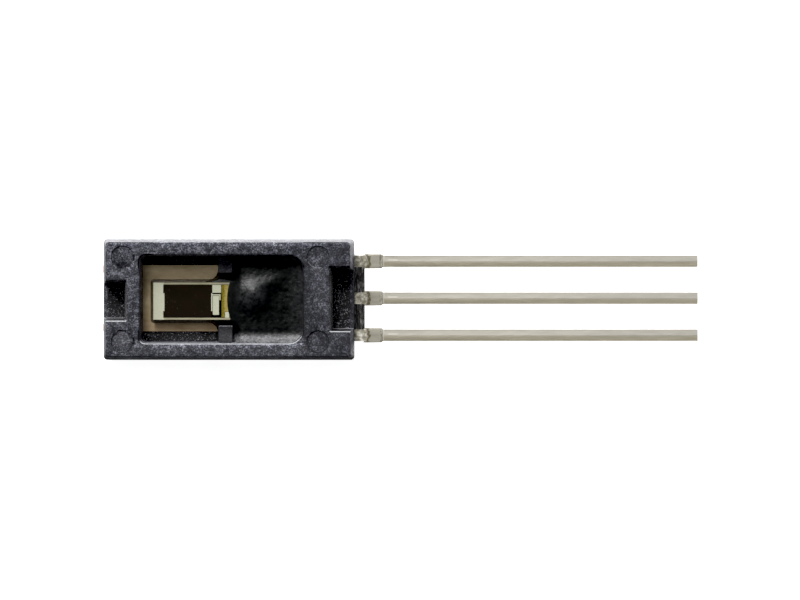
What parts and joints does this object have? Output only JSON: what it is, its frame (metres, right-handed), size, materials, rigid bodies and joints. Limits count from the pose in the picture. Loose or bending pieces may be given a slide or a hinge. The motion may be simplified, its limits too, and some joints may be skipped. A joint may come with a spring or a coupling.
{
  "type": "humidity sensor",
  "caption": "Capacitive humidity sensor: a chip on a plated paddle in the open window of a black moulded housing, half covered by potting, on three flat leads.",
  "frame": {"origin": "centre of the housing's flat back face", "axes": "+X along the leads, away from the housing; +Y across the row of leads, towards the ground lead; +Z out of the housing's front face, through the window"},
  "size_m": [0.0204, 0.0042, 0.002],
  "materials": {
    "moulding_compound": "fine-grained matte",
    "tinned_alloy": "satin tin plating over copper alloy",
    "adhesive": "cured paste",
    "chip_body": "polished",
    "contact_metal": "satin",
    "sensing_polymer": "thin smooth film",
    "circuit_film": "fine patterned film",
    "bond_gold": "bright",
    "potting_resin": "glossy"
  },
  "bodies": {
    "root": {"housing": "moulding_compound", "ground_lead": "tinned_alloy", "output_lead": "tinned_alloy", "supply_lead": "tinned_alloy", "die_attach": "adhesive", "humidity_chip": "chip_body", "lower_electrode": "contact_metal", "sensing_film": "sensing_polymer", "upper_contact": "contact_metal", "trim_trace": "contact_metal", "trim_pad": "contact_metal", "circuit_layer": "circuit_film", "bond_pads": "contact_metal", "ground_wire": "bond_gold", "output_wire": "bond_gold", "supply_wire": "bond_gold", "potting": "potting_resin"}
  },
  "joints": []
}
